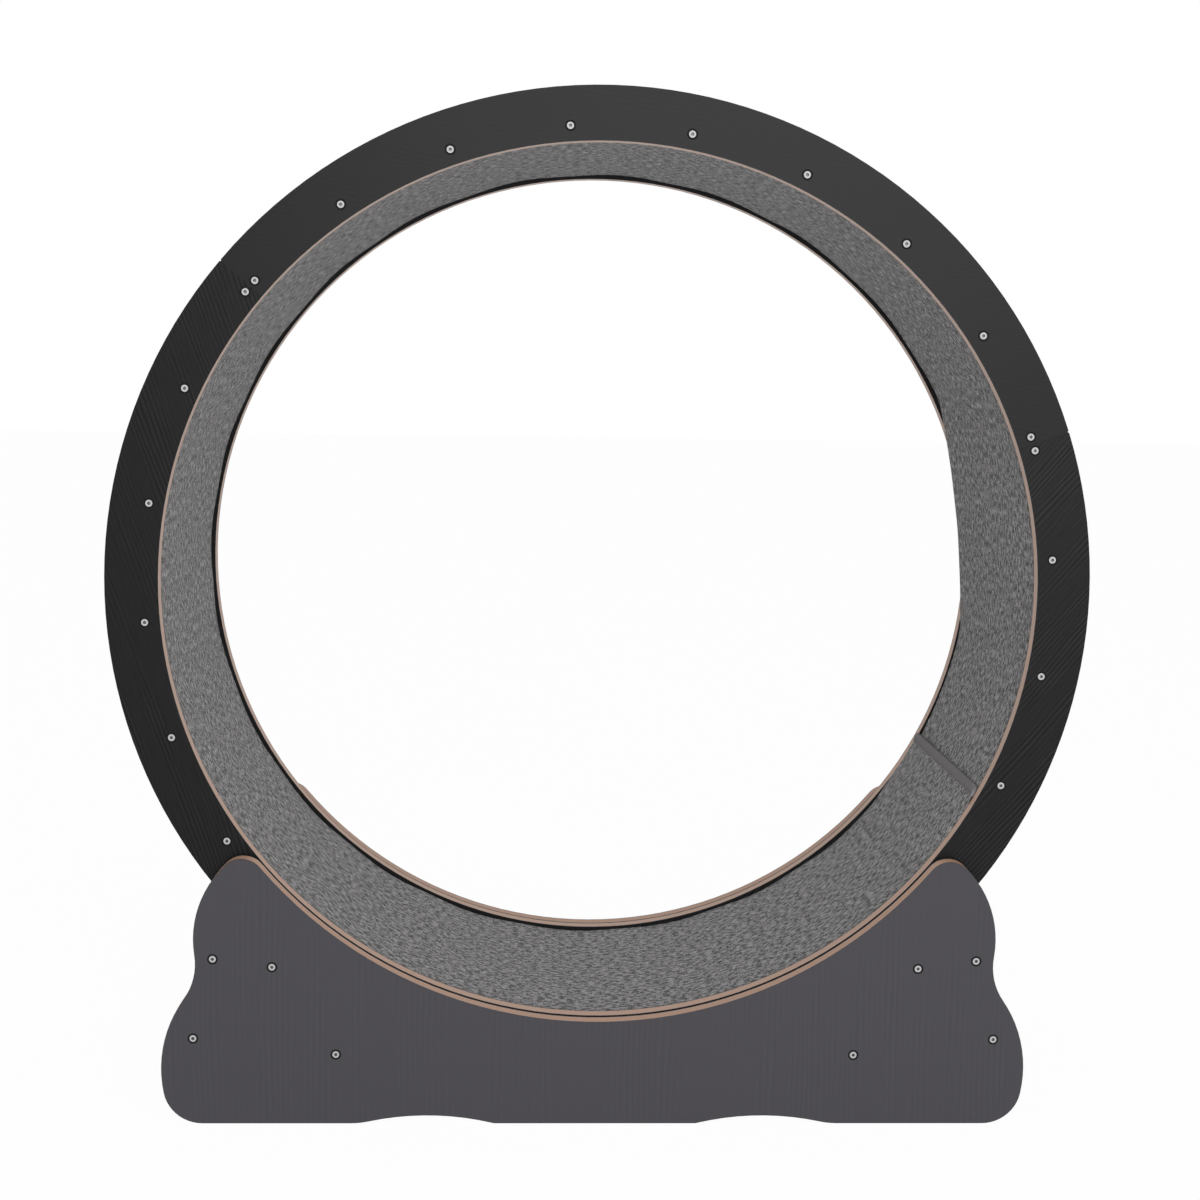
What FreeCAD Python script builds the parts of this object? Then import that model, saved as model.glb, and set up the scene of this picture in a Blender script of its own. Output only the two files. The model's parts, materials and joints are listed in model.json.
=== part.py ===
import FreeCAD, Part
import math
import os

# A cat exercise wheel: a running wheel of two ring boards joined by flat tread slats and
# lined with carpet, which turns on four ball-bearing rollers between two cloud-shaped base
# panels. All sizes are in millimetres. X runs to the right as seen from the front, Y from
# the front to the back and Z up. The origin is on the floor, under the middle of the wheel,
# whose axis runs along Y. Angles are measured counter-clockwise from +X, seen from the front.

# ---------------------------------------------------------------- running wheel
RIM_RADIUS = 500.0            # outer radius of the two rings
RING_WIDTH = 53.5             # from the inner to the outer edge of a ring
RING_BOARD = 15.0             # thickness of the ring boards
TRACK_WIDTH = 290.0           # clear width between the two rings
FLOOR_GAP = 55.0              # between the rim and the floor
RING_SEGMENTS = 3             # boards that make up one ring
SEGMENT_JOINT_ANGLE = 19.5    # first butt joint between two ring boards
JOINT_CHAMFER = 1.2           # corners of each board at its butt joints

SLATS = 24                    # flat boards that make up the running track
SLAT_BOARD = 15.0             # thickness of a slat
SLAT_GAP = 1.6                # between the inner corners of two slats
LIP = 3.25                    # how far the rings stand proud of the carpet

CARPET = 4.5                  # thickness of the carpet
CARPET_CORNER_RADIUS = 280.0  # how softly the carpet bends from one slat to the next
BULGE_ANGLE = 7.0             # the carpet has come loose here and bulges inwards
BULGE_LIFT = 10.2             # at the back it reaches this far inside the ring's edge
BULGE_SINK = 1.5              # at the front it stays this far outside the ring's edge
BULGE_RADIUS = 1200.0         # bend of the loose stretch
SEAM_ANGLE = -27.3            # where the end that lies on top stops
OVERLAP_ANGLE = 14.0          # how far the two ends lie on each other
STRIP_WIDTH = 12.0            # binding strip sewn round the end that lies on top
STRIP_THICKNESS = 1.0

# ---------------------------------------------------------------- screws
SCREW_HEAD_RADIUS = 4.0       # countersunk head
SCREW_HEAD_DEPTH = 2.0
SCREW_SHANK_RADIUS = 2.0
SCREW_LENGTH = 40.0
SCREW_FIT = 0.05              # clearance all round a screw
SCREW_SIDES = 6               # screws and their holes are drawn with this many flat sides
JOINT_SCREW_SPREAD = 14.6     # between the two screws beside a butt joint

# ---------------------------------------------------------------- base panels
PANEL_GAP = 5.0               # between a ring and the panel beside it
PANEL_BOARD = 15.0            # thickness of the base panels
CRADLE_STEP = 0.5             # the round cut-out stands this far inside the ring's edge
BACK_CRADLE_EXTRA = 2.0       # the cut-out of the back panel is wider by this, in radius
EAR_TIP_RADIUS = 24.0         # rounded tip beside the cut-out
EAR_ANGLE = 39.5              # ear tips stand this far below the level of the axis
SHOULDER_RADIUS = 110.0       # upper lobe of the cloud
SHOULDER_ANGLE = 45.66        # its centre lies this far below the level of the ear tip's
WAIST_RADIUS = 65.0           # hollow between the two lobes
LOBE_RADIUS = 131.0           # lower lobe of the cloud
LOBE_OUTSET = 34.5            # how much further out it reaches than the upper lobe
LOBE_HEIGHT = 57.0            # height of its centre above the floor
CORNER_RADIUS = 40.0          # between the lower lobe and the floor
RECESS_OFFSET = 174.0         # middle of each shallow arch that parts the feet
RECESS_HALF_WIDTH = 69.0
RECESS_RISE = 8.5
RECESS_INNER_BLEND = 12.0     # rounding where the arch meets the middle foot
RECESS_OUTER_BLEND = 80.0     # rounding where the arch meets the outer foot

# ---------------------------------------------------------------- boards and bars between the panels
END_BOARD_THICKNESS = 15.0
END_BOARD_LENGTH = 130.0      # along its slope, from its upper to its lower edge
END_BOARD_GAP = 83.87         # between the rim and the middle of the board
END_BOARD_ANGLE = 46.28       # boards stand this far below the level of the axis
END_BOARD_TILT = 14.0         # from upright, its foot further out
END_SCREW_SPREAD = 86.6       # between the two screws in each end of the board
BAR_RADIUS = 14.0             # round cross bar
BAR_GAP = 36.6                # between the rim and a bar
BAR_ANGLE = 60.87             # bars stand this far below the level of the axis

# ---------------------------------------------------------------- rollers
BEARING_RADIUS = 11.0         # ball bearing of 8 x 22 x 7
BEARING_BORE_RADIUS = 4.0
BEARING_WIDTH = 7.0
RACE_OUTER_RADIUS = 6.1       # outside of the inner race
SHIELD_CLEARANCE = 0.2        # between the shield and the inner race
ROLLER_CLEARANCE = 0.3        # between the ring's edge and a roller
ROLLER_ANGLE = 49.4           # rollers stand this far below the level of the axis
DISC_RADIUS = 17.0            # guide discs keep the wheel from wandering sideways
DISC_CLEARANCE = 1.0          # between a guide disc and the ring
SPACER_RADIUS = 6.0           # disc hubs and tube, against the inner races
SHAFT_FIT = 0.05              # clearance between the shaft and what is threaded on it

# ---------------------------------------------------------------- sizes that follow from these
RING_INNER_RADIUS = RIM_RADIUS - RING_WIDTH
AXIS_HEIGHT = RIM_RADIUS + FLOOR_GAP
RING_INNER_FACE = TRACK_WIDTH / 2
RING_OUTER_FACE = RING_INNER_FACE + RING_BOARD
PANEL_INNER_FACE = RING_OUTER_FACE + PANEL_GAP
PANEL_OUTER_FACE = PANEL_INNER_FACE + PANEL_BOARD
SLAT_STEP = 360.0 / SLATS
SLAT_MIDDLE_ANGLE = SEGMENT_JOINT_ANGLE                 # a slat bridges each butt joint
SLAT_INNER_FACE = RING_INNER_RADIUS + LIP + CARPET      # distance from the wheel's axis
SLAT_WIDTH = 2 * SLAT_INNER_FACE * math.tan(math.radians(SLAT_STEP / 2)) - SLAT_GAP
SCREW_CIRCLE = SLAT_INNER_FACE + SLAT_BOARD / 2
CRADLE_RADIUS = RING_INNER_RADIUS - CRADLE_STEP
END_BOARD_CIRCLE = RIM_RADIUS + END_BOARD_GAP
BAR_CIRCLE = RIM_RADIUS + BAR_GAP + BAR_RADIUS
SHAFT_CIRCLE = RIM_RADIUS + ROLLER_CLEARANCE + BEARING_RADIUS
SHAFT_RADIUS = BEARING_BORE_RADIUS - SHAFT_FIT

V = FreeCAD.Vector
ACROSS = V(0, 1, 0)
SIDES = {"left": -1, "right": 1}
ENDS = {"front": -1, "back": 1}


# ---------------------------------------------------------------- helpers
def polar(radius, angle):
    """Point at this radius and angle round the wheel's axis, in the plane Y = 0."""
    turn = math.radians(angle)
    return V(radius * math.cos(turn), 0, radius * math.sin(turn))


def below_axis(circle, angle, side):
    """Sideways place and height, this far from the axis and this far below its level."""
    place = polar(circle, angle)
    return side * place.x, AXIS_HEIGHT - place.z


def arc_through(start, middle, end):
    return Part.Arc(start, middle, end).toShape()


def arc_round(centre, radius, start, end):
    """The shorter arc round centre from start to end."""
    half_way = (start - centre).normalize() + (end - centre).normalize()
    return arc_through(start, centre + half_way.normalize() * radius, end)


def plate(edges, near, far):
    """Board whose outline lies in the plane Y = 0, from Y = near to Y = far."""
    outline = Part.Wire(Part.__sortEdges__(edges))
    outline.translate(ACROSS * near)
    return Part.Face(outline).extrude(ACROSS * (far - near))


def polygon_plate(points, near, far):
    return plate(Part.makePolygon(points + points[:1]).Edges, near, far)


def lathe(profile):
    """Solid turned round the Y axis from points given as (radius, y)."""
    points = [V(radius, y, 0) for radius, y in profile]
    face = Part.Face(Part.makePolygon(points + points[:1]))
    return face.revolve(V(0, 0, 0), ACROSS, 360)


def moved(shape, x, y, z):
    copy = shape.copy()
    copy.translate(V(x, y, z))
    return copy


def turned(shape, angle):
    """Copy of the shape, turned counter-clockwise round the wheel's axis."""
    copy = shape.copy()
    copy.rotate(V(0, 0, 0), -ACROSS, angle)
    return copy


def mirrored(shape, end):
    """The shape as made for the front, or its mirror image for the back."""
    return shape.copy() if end < 0 else shape.mirror(V(0, 0, 0), ACROSS)


def cut_all(shape, tools):
    return shape.cut(Part.makeCompound(tools)) if tools else shape


def save(node, shape):
    solids = shape.Solids
    solid = solids[0] if len(solids) == 1 else Part.makeCompound(solids)
    solid.exportStep("parts/" + node + ".step")
    print(node, len(solids), "solid(s),", round(sum(s.Volume for s in solids) / 1000, 1), "cm3")


# ---------------------------------------------------------------- screws
def screw(fit=0.0):
    """Countersunk screw whose head lies in the plane Y = 0, or the hole for it."""
    stations = [(SCREW_HEAD_RADIUS + fit, 0), (SCREW_SHANK_RADIUS + fit, SCREW_HEAD_DEPTH),
                (SCREW_SHANK_RADIUS + fit, SCREW_LENGTH + fit)]
    rings = [[polar(radius, index * 360.0 / SCREW_SIDES) + ACROSS * depth for index in range(SCREW_SIDES)]
             for radius, depth in stations]
    outlines = [rings[0], rings[-1]]
    for near, far in zip(rings, rings[1:]):
        outlines += [[near[index - 1], near[index], far[index], far[index - 1]]
                     for index in range(SCREW_SIDES)]
    faces = [Part.Face(Part.makePolygon(outline + outline[:1])) for outline in outlines]
    solid = Part.Solid(Part.Shell(faces))
    return solid if solid.Volume > 0 else solid.reversed()


def ring_screw_places():
    """Angle round the wheel and sideways shift of each screw of one ring."""
    places = []
    for index in range(SLATS):
        angle = SLAT_MIDDLE_ANGLE + index * SLAT_STEP
        if index % (SLATS // RING_SEGMENTS) == 0:
            places += [(angle, -JOINT_SCREW_SPREAD / 2), (angle, JOINT_SCREW_SPREAD / 2)]
        else:
            places.append((angle, 0.0))
    return places


def ring_screws(end, fit=0.0):
    """The screws of one ring, or the holes for them, about the wheel's axis."""
    one = screw(fit)
    screws = [turned(moved(one, SCREW_CIRCLE, -RING_OUTER_FACE, shift), angle)
              for angle, shift in ring_screw_places()]
    return [mirrored(each, end) for each in screws]


def base_screw_places(side):
    """Sideways place and height of the screws on one side of a base panel."""
    slope = math.radians(END_BOARD_TILT)
    places = [below_axis(BAR_CIRCLE, BAR_ANGLE, side), shaft_place(side)]
    x, z = below_axis(END_BOARD_CIRCLE, END_BOARD_ANGLE, side)
    for step in (-END_SCREW_SPREAD / 2, END_SCREW_SPREAD / 2):
        places.append((x - side * step * math.sin(slope), z + step * math.cos(slope)))
    return places


def base_screws(end, fit=0.0):
    one = screw(fit)
    return [mirrored(moved(one, x, -PANEL_OUTER_FACE, z), end)
            for side in SIDES.values() for x, z in base_screw_places(side)]


# ---------------------------------------------------------------- running wheel
def ring_segment(index, end, holes):
    """One board of a ring: a 120 degree sector with its corners eased at the joints."""
    start = SEGMENT_JOINT_ANGLE + index * 360.0 / RING_SEGMENTS
    stop = start + 360.0 / RING_SEGMENTS
    middle = (start + stop) / 2
    ease = math.degrees(JOINT_CHAMFER / RIM_RADIUS)
    inside = [polar(RING_INNER_RADIUS, start), polar(RING_INNER_RADIUS, stop)]
    outside = [polar(RIM_RADIUS, start + ease), polar(RIM_RADIUS, stop - ease)]
    eased = [polar(RIM_RADIUS - JOINT_CHAMFER, start), polar(RIM_RADIUS - JOINT_CHAMFER, stop)]
    edges = [arc_through(inside[0], polar(RING_INNER_RADIUS, middle), inside[1]),
             Part.makeLine(inside[1], eased[1]), Part.makeLine(eased[1], outside[1]),
             arc_through(outside[1], polar(RIM_RADIUS, middle), outside[0]),
             Part.makeLine(outside[0], eased[0]), Part.makeLine(eased[0], inside[0])]
    board = mirrored(plate(edges, -RING_OUTER_FACE, -RING_INNER_FACE), end)
    return cut_all(board, holes)


def tread_slat(index, holes):
    """One flat slat of the track, screwed through its ends."""
    slat = Part.makeBox(SLAT_BOARD, TRACK_WIDTH, SLAT_WIDTH,
                        V(SLAT_INNER_FACE, -TRACK_WIDTH / 2, -SLAT_WIDTH / 2))
    return cut_all(turned(slat, SLAT_MIDDLE_ANGLE + index * SLAT_STEP), holes)


def track_polygon(distance):
    """Corners of the slats' polygon at this distance from the axis to its sides."""
    radius = distance / math.cos(math.radians(SLAT_STEP / 2))
    return [polar(radius, SLAT_MIDDLE_ANGLE + (index + 0.5) * SLAT_STEP) for index in range(SLATS)]


def prism_edges(solid):
    """The edges of a prism that run along the wheel's axis."""
    return [edge for edge in solid.Edges if abs(edge.tangentAt(edge.FirstParameter).y) > 0.99]


def loose_bend(depth):
    """Leaning cylinder whose side is the loose stretch of carpet at this depth below its face."""
    front = polar(RING_INNER_RADIUS + BULGE_SINK - BULGE_RADIUS, BULGE_ANGLE) - ACROSS * TRACK_WIDTH / 2
    back = polar(RING_INNER_RADIUS - BULGE_LIFT - BULGE_RADIUS, BULGE_ANGLE) + ACROSS * TRACK_WIDTH / 2
    lean = back - front
    radius = (BULGE_RADIUS + depth) * TRACK_WIDTH / lean.Length
    return Part.makeCylinder(radius, 3 * lean.Length, front - lean, lean)


def overlapping_end():
    """The end that lies on top, at full thickness at the seam and sinking into the run."""
    seat = SLAT_INNER_FACE - CARPET
    start = SEAM_ANGLE - OVERLAP_ANGLE
    middle = (start + SEAM_ANGLE) / 2
    edges = [Part.makeLine(polar(seat, SEAM_ANGLE), polar(seat - CARPET, SEAM_ANGLE)),
             arc_through(polar(seat - CARPET, SEAM_ANGLE), polar(seat - CARPET / 2, middle),
                         polar(seat, start)),
             arc_through(polar(seat, start), polar(seat + CARPET / 2, middle), polar(seat, SEAM_ANGLE))]
    return plate(edges, -TRACK_WIDTH / 2, TRACK_WIDTH / 2)


def running_carpet():
    """Carpet strip round the inside of the slats, with its loose stretch and its overlap."""
    half = TRACK_WIDTH / 2
    outside = polygon_plate(track_polygon(SLAT_INNER_FACE), -half, half)
    inside = polygon_plate(track_polygon(SLAT_INNER_FACE - CARPET), -half, half)
    inside = inside.makeFillet(CARPET_CORNER_RADIUS, prism_edges(inside))
    carpet = outside.common(loose_bend(CARPET)).cut(inside.common(loose_bend(0)))
    return carpet.fuse(overlapping_end()).removeSplitter()


def carpet_end_strip():
    """Binding strip folded over the cut end of the carpet, as an L."""
    seat = SLAT_INNER_FACE - CARPET
    top = seat - CARPET
    bend = math.degrees(STRIP_THICKNESS / seat)
    back = math.degrees(STRIP_WIDTH / seat)
    points = [polar(seat, SEAM_ANGLE), polar(seat, SEAM_ANGLE + bend),
              polar(top - STRIP_THICKNESS, SEAM_ANGLE + bend),
              polar(top - STRIP_THICKNESS, SEAM_ANGLE - back), polar(top, SEAM_ANGLE - back),
              polar(top, SEAM_ANGLE)]
    return polygon_plate(points, -TRACK_WIDTH / 2, TRACK_WIDTH / 2)


# ---------------------------------------------------------------- base panels
def beside(first, first_radius, second, second_radius, side):
    """Centre that lies at these distances from two others, to the right (1) or left (-1)."""
    line = second - first
    along = (first_radius ** 2 - second_radius ** 2 + line.Length ** 2) / (2 * line.Length)
    away = math.sqrt(first_radius ** 2 - along ** 2)
    step = V(line).normalize()
    return first + step * along + V(-step.z, 0, step.x) * away * side


def towards(centre, other, radius):
    """Point of the circle round centre that lies on the way to the other centre."""
    return centre + (other - centre).normalize() * radius


def recess_edges():
    """The shallow arch in the lower edge, with a rounding at each foot."""
    radius = (RECESS_HALF_WIDTH ** 2 + RECESS_RISE ** 2) / (2 * RECESS_RISE)
    centre = V(RECESS_OFFSET, 0, RECESS_RISE - radius)
    edges = []
    ends = []
    feet = []
    for side, blend in ((-1, RECESS_INNER_BLEND), (1, RECESS_OUTER_BLEND)):
        rise = blend - centre.z
        reach = math.sqrt((radius + blend) ** 2 - rise ** 2)
        corner = centre + V(side * reach, 0, rise)
        ends.append(towards(centre, corner, radius))
        feet.append(V(corner.x, 0, 0))
        edges.append(arc_round(corner, blend, feet[-1], ends[-1]))
    edges.append(arc_round(centre, radius, ends[0], ends[1]))
    return edges, feet


def panel_outline(cradle_radius):
    """The cloud outline, from tangent arcs: right half first, then its mirror image."""
    axis = V(0, 0, AXIS_HEIGHT)
    front_tip = axis + polar(CRADLE_RADIUS + EAR_TIP_RADIUS, -EAR_ANGLE)
    shoulder = front_tip - polar(SHOULDER_RADIUS - EAR_TIP_RADIUS, SHOULDER_ANGLE)
    tip = beside(axis, cradle_radius + EAR_TIP_RADIUS, shoulder, SHOULDER_RADIUS - EAR_TIP_RADIUS, 1)
    lobe = V(shoulder.x + SHOULDER_RADIUS + LOBE_OUTSET - LOBE_RADIUS, 0, LOBE_HEIGHT)
    waist = beside(shoulder, SHOULDER_RADIUS + WAIST_RADIUS, lobe, LOBE_RADIUS + WAIST_RADIUS, 1)
    reach = math.sqrt((LOBE_RADIUS - CORNER_RADIUS) ** 2 - (lobe.z - CORNER_RADIUS) ** 2)
    corner = V(lobe.x + reach, 0, CORNER_RADIUS)

    cradle_end = towards(axis, tip, cradle_radius)
    tip_end = towards(shoulder, tip, SHOULDER_RADIUS)
    shoulder_end = towards(shoulder, waist, SHOULDER_RADIUS)
    waist_end = towards(lobe, waist, LOBE_RADIUS)
    lobe_end = towards(lobe, corner, LOBE_RADIUS)
    corner_end = V(corner.x, 0, 0)
    recess, feet = recess_edges()
    half = [arc_round(tip, EAR_TIP_RADIUS, cradle_end, tip_end),
            arc_round(shoulder, SHOULDER_RADIUS, tip_end, shoulder_end),
            arc_round(waist, WAIST_RADIUS, shoulder_end, waist_end),
            arc_round(lobe, LOBE_RADIUS, waist_end, lobe_end),
            arc_round(corner, CORNER_RADIUS, lobe_end, corner_end),
            Part.makeLine(corner_end, feet[1])] + recess
    other_half = [edge.mirror(V(0, 0, 0), V(1, 0, 0)) for edge in half]
    cradle = arc_through(cradle_end, axis - V(0, 0, cradle_radius), V(-cradle_end.x, 0, cradle_end.z))
    middle_foot = Part.makeLine(feet[0], V(-feet[0].x, 0, 0))
    return half + other_half + [cradle, middle_foot]


def base_panel(end):
    """A panel of the base. Both have the same outer outline, and the back cut-out is wider."""
    extra = BACK_CRADLE_EXTRA if end > 0 else 0.0
    panel = plate(panel_outline(CRADLE_RADIUS + extra), -PANEL_OUTER_FACE, -PANEL_INNER_FACE)
    return cut_all(mirrored(panel, end), base_screws(end, SCREW_FIT))


# ---------------------------------------------------------------- between the panels
def end_board(side, holes):
    """Board that closes one end of the base and ties the two panels together."""
    board = Part.makeBox(END_BOARD_THICKNESS, 2 * PANEL_INNER_FACE, END_BOARD_LENGTH,
                         V(-END_BOARD_THICKNESS / 2, -PANEL_INNER_FACE, -END_BOARD_LENGTH / 2))
    x, z = below_axis(END_BOARD_CIRCLE, END_BOARD_ANGLE, side)
    return cut_all(moved(turned(board, side * END_BOARD_TILT), x, 0, z), holes)


def cross_bar(side, holes):
    x, z = below_axis(BAR_CIRCLE, BAR_ANGLE, side)
    bar = Part.makeCylinder(BAR_RADIUS, 2 * PANEL_INNER_FACE, V(x, -PANEL_INNER_FACE, z), ACROSS)
    return cut_all(bar, holes)


# ---------------------------------------------------------------- rollers
def shaft_place(side):
    """Sideways place and height of one roller shaft."""
    return below_axis(SHAFT_CIRCLE, ROLLER_ANGLE, side)


def tube(outer, near, far):
    """Tube that slides on the roller shaft, from Y = near to Y = far."""
    inner = BEARING_BORE_RADIUS
    return lathe([(inner, near), (outer, near), (outer, far), (inner, far)])


def bearing_span():
    """Where the front bearing begins and ends, under the middle of the ring's board."""
    middle = (RING_INNER_FACE + RING_OUTER_FACE) / 2
    return -middle - BEARING_WIDTH / 2, -middle + BEARING_WIDTH / 2


def guide_discs(side):
    """Discs that fill the gap beside the rings, with a hub against each inner race."""
    x, z = shaft_place(side)
    bore = BEARING_BORE_RADIUS
    face = -RING_OUTER_FACE - DISC_CLEARANCE
    hub_end = bearing_span()[0]
    disc = lathe([(bore, -PANEL_INNER_FACE), (DISC_RADIUS, -PANEL_INNER_FACE), (DISC_RADIUS, face),
                  (SPACER_RADIUS, face), (SPACER_RADIUS, hub_end), (bore, hub_end)])
    return [moved(mirrored(disc, end), x, 0, z) for end in ENDS.values()]


def spacer_tube(side):
    """Tube on the shaft that holds the two bearings apart."""
    x, z = shaft_place(side)
    start = bearing_span()[1]
    return moved(tube(SPACER_RADIUS, start, -start), x, 0, z)


def roller(side, end):
    """Outer race with its shields, which carries one ring on one side."""
    x, z = shaft_place(side)
    lip = RACE_OUTER_RADIUS + SHIELD_CLEARANCE
    start, stop = bearing_span()
    race = lathe([(lip, start), (BEARING_RADIUS, start), (BEARING_RADIUS, stop), (lip, stop)])
    return moved(mirrored(race, end), x, 0, z)


def inner_races(side):
    x, z = shaft_place(side)
    race = tube(RACE_OUTER_RADIUS, *bearing_span())
    return [moved(mirrored(race, end), x, 0, z) for end in ENDS.values()]


def roller_shaft(side, holes):
    x, z = shaft_place(side)
    shaft = Part.makeCylinder(SHAFT_RADIUS, 2 * PANEL_INNER_FACE, V(x, -PANEL_INNER_FACE, z), ACROSS)
    return cut_all(shaft, holes)


# ---------------------------------------------------------------- build
def save_on_axis(node, solids):
    """Save pieces of the wheel, which are made about its axis, at their height."""
    save(node, moved(Part.makeCompound(solids), 0, 0, AXIS_HEIGHT))


def build_wheel():
    ring_holes = {end: ring_screws(sign, SCREW_FIT) for end, sign in ENDS.items()}
    for end, sign in ENDS.items():
        for index in range(RING_SEGMENTS):
            segment = ring_segment(index, sign, ring_holes[end])
            save_on_axis(end + "_ring_segment_" + str(index + 1), [segment])
        save_on_axis(end + "_ring_screws", ring_screws(sign))
    holes = ring_holes["front"] + ring_holes["back"]
    for index in range(SLATS):
        save_on_axis("tread_slat_%02d" % (index + 1), [tread_slat(index, holes)])
    save_on_axis("running_carpet", [running_carpet()])
    save_on_axis("carpet_end_strip", [carpet_end_strip()])


def build_base():
    holes = []
    for end, sign in ENDS.items():
        save(end + "_base_panel", base_panel(sign))
        save(end + "_base_screws", Part.makeCompound(base_screws(sign)))
        holes += base_screws(sign, SCREW_FIT)
    for side, sign in SIDES.items():
        save(side + "_end_board", end_board(sign, holes))
        save(side + "_cross_bar", cross_bar(sign, holes))
        save(side + "_roller_shaft", roller_shaft(sign, holes))
        save(side + "_spacer_tube", spacer_tube(sign))
        save(side + "_guide_discs", Part.makeCompound(guide_discs(sign)))
        save(side + "_bearing_inner_races", Part.makeCompound(inner_races(sign)))
        for end, end_sign in ENDS.items():
            save(end + "_" + side + "_roller", roller(sign, end_sign))


os.makedirs("parts", exist_ok=True)
build_wheel()
build_base()
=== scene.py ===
# %% [markdown]
# # Dressing a cat exercise wheel
#
# The wheel is built in CAD: ring boards, slats, base panels, shafts and rollers are
# already in the right place and size. This lesson gives them their looks in Blender. It
# keeps the boards as they are and gives them laminate, raw edges and wood, and it models
# anew what CAD only stands in for: the carpet, its binding, the screws and the bearings.
#
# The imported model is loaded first, because every later step reads its places from it.

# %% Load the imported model
import json
import math

import bmesh
import bpy
from mathutils import Matrix, Vector, noise


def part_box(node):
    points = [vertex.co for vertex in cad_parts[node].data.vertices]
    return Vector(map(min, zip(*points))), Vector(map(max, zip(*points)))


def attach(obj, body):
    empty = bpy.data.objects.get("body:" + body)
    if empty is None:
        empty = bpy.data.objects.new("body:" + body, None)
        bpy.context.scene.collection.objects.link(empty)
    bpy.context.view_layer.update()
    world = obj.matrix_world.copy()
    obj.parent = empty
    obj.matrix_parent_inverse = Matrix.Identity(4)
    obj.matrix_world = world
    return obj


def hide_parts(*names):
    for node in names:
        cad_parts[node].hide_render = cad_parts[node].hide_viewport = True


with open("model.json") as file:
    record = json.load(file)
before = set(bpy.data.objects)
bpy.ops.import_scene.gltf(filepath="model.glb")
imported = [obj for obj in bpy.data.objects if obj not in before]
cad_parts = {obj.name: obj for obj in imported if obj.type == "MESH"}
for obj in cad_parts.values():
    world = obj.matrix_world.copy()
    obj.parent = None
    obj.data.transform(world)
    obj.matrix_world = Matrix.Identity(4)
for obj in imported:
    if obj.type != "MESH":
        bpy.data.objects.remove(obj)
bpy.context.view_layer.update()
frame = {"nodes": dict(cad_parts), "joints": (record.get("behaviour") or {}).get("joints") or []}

# %% [markdown]
# ## Places that the later steps share
#
# A wheel is easiest to describe about its own axis. The axis comes from the joint that
# the wheel turns on, and the board faces come from the boxes of the CAD nodes, so
# nothing here has to be measured twice. Angles run counter-clockwise from +X, as a
# person in front of the wheel sees them.

# %% The wheel's axis and the faces of its boards
spin = next(joint for joint in frame["joints"] if joint["name"] == "wheel_spin")
AXIS = Vector(spin["pos_m"])
RING_FACE = -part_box("front_ring_segment_1")[0].y
TRACK_HALF = -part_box("front_ring_segment_1")[1].y
PANEL_FACE = -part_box("front_base_panel")[0].y
PANEL_BACK = -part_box("front_base_panel")[1].y


def about_axis(radius, degrees, y=0.0):
    """Point at this radius and angle round the wheel's axis."""
    turn = math.radians(degrees)
    return AXIS + Vector((radius * math.cos(turn), y, radius * math.sin(turn)))


print("axis at", tuple(AXIS), "rings to", round(RING_FACE, 4), "panels to", round(PANEL_FACE, 4))

# %% [markdown]
# ## The camera
#
# The photograph was taken from straight ahead, a little above the wheel's axis and with
# the camera tipped slightly down. Where the rings, the screws and the base appear in it
# gives the camera's place, its turn and its focal length. The camera is turned in three
# steps, as a photographer would do it: aim sideways, tip down, then roll.

# %% Set up the camera
CAMERA_PLACE = Vector((-0.05708, -1.90366, 0.75141))
CAMERA_YAW, CAMERA_PITCH, CAMERA_ROLL = 1.838, -6.717, 0.754
SENSOR_WIDTH, FOCAL_LENGTH = 36, 51.914

camera = bpy.data.objects.new("camera", bpy.data.cameras.new("camera"))
bpy.context.scene.collection.objects.link(camera)
camera.matrix_world = (Matrix.Translation(CAMERA_PLACE)
                       @ Matrix.Rotation(math.radians(-CAMERA_YAW), 4, "Z")
                       @ Matrix.Rotation(math.radians(90 + CAMERA_PITCH), 4, "X")
                       @ Matrix.Rotation(math.radians(CAMERA_ROLL), 4, "Z"))
camera.data.sensor_width = SENSOR_WIDTH
camera.data.lens = FOCAL_LENGTH
bpy.context.scene.camera = camera
print("camera looks along", [round(c, 4) for c in camera.matrix_world.to_3x3() @ Vector((0, 0, -1))])

# %% [markdown]
# ## Building materials from nodes
#
# A material is a small network: coordinates go in, patterns are made from them, and a
# shader turns the result into a surface. Clicking such networks together is slow, and
# writing them out one socket at a time is long. These helpers keep each material to a
# few lines: one adds a node and wires it, the others are the kinds that come up often.

# %% Helpers for node networks
def add(tree, kind, inputs, **settings):
    """A node of this kind. An input is set to a value, or wired if it is another node's output."""
    made = tree.nodes.new("ShaderNode" + kind)
    for name, value in settings.items():
        setattr(made, name, value)
    for socket, value in inputs.items():
        if isinstance(value, bpy.types.NodeSocket):
            tree.links.new(value, made.inputs[socket])
        else:
            made.inputs[socket].default_value = value
    return made


def maths(tree, operation, *values, clamp=False):
    """Result of a Math node on these values or outputs."""
    return add(tree, "Math", dict(enumerate(values)), operation=operation, use_clamp=clamp).outputs[0]


def blend_colour(tree, factor, first, second):
    """From the first colour, at factor 0, to the second, at factor 1."""
    sockets = {0: factor, 6: first, 7: second}
    return add(tree, "Mix", sockets, data_type="RGBA").outputs[2]


def ramp(tree, factor, low, high):
    """0 below low, 1 above high, and a straight line between them."""
    return add(tree, "MapRange", {0: factor, 1: low, 2: high}).outputs[0]


def speckle(tree, coordinates, scale, detail=2.0, roughness=0.5):
    """Noise from 0 to 1, stretched by giving each direction its own scale."""
    stretched = add(tree, "Mapping", {"Vector": coordinates, "Scale": scale}).outputs[0]
    sockets = {"Vector": stretched, "Scale": 1.0, "Detail": detail, "Roughness": roughness}
    return add(tree, "TexNoise", sockets).outputs[0]


print("helpers ready")

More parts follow.
